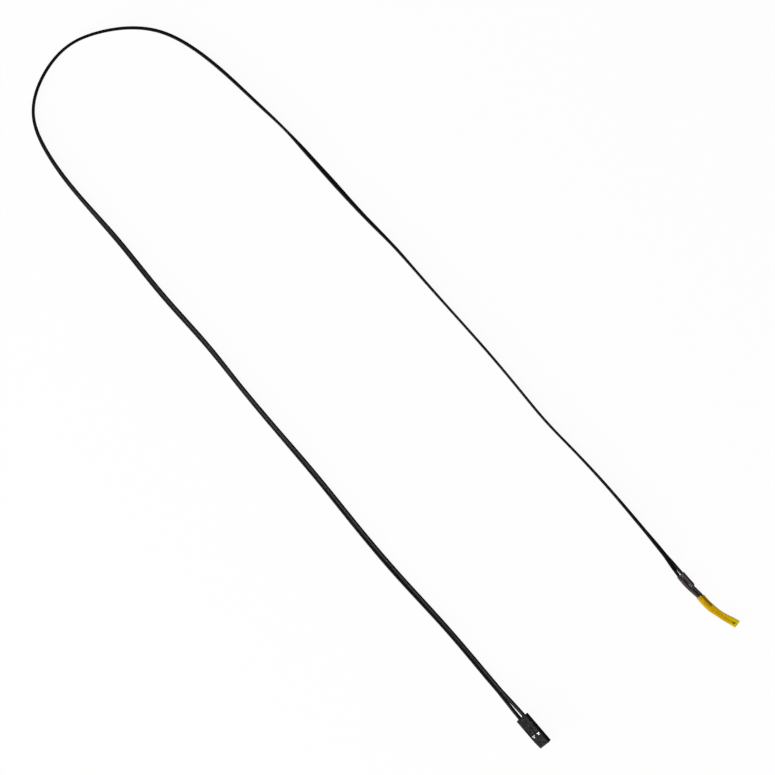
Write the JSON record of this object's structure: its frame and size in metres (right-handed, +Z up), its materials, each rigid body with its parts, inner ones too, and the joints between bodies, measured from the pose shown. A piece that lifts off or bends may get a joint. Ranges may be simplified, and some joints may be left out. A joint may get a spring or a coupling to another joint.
{
  "type": "temperature sensor",
  "caption": "Film-sleeved glass bead thermistor on a black twin lead that ends in a female crimp connector for a pin header.",
  "frame": {"origin": "middle of the sensing end (film sleeve and shrink tubes) on the plane that it lies on", "axes": "+X along the sensing end towards its tip, +Z up from the plane that the sensor lies on; the lead leaves towards -X and curves back through -Y to the connector"},
  "size_m": [0.3496, 0.1198, 0.0046],
  "materials": {
    "amber_film": "clear amber film, glossy",
    "bead_glass": "dark glass drop",
    "chip_ceramic": "matt sintered ceramic",
    "tinned_metal": "bright tin plate",
    "solder": "smooth solder",
    "copper": "bare stranded copper",
    "black_shrink": "satin shrink tube",
    "black_lead": "soft satin insulation",
    "black_housing": "moulded, finely textured"
  },
  "bodies": {
    "root": {"film_sleeve": "amber_film", "bead_glass": "bead_glass", "thermistor_chip": "chip_ceramic", "sensor_wire_left": "tinned_metal", "sensor_wire_right": "tinned_metal", "wire_tube": "black_shrink", "solder_joint_left": "solder", "solder_joint_right": "solder", "splice_conductor_left": "copper", "splice_conductor_right": "copper", "shrink_tube_left": "black_shrink", "shrink_tube_right": "black_shrink", "lead_core_1": "black_lead", "lead_core_2": "black_lead", "connector_housing": "black_housing", "crimp_terminal_1": "tinned_metal", "crimp_terminal_2": "tinned_metal", "crimp_conductor_1": "copper", "crimp_conductor_2": "copper"}
  },
  "joints": []
}
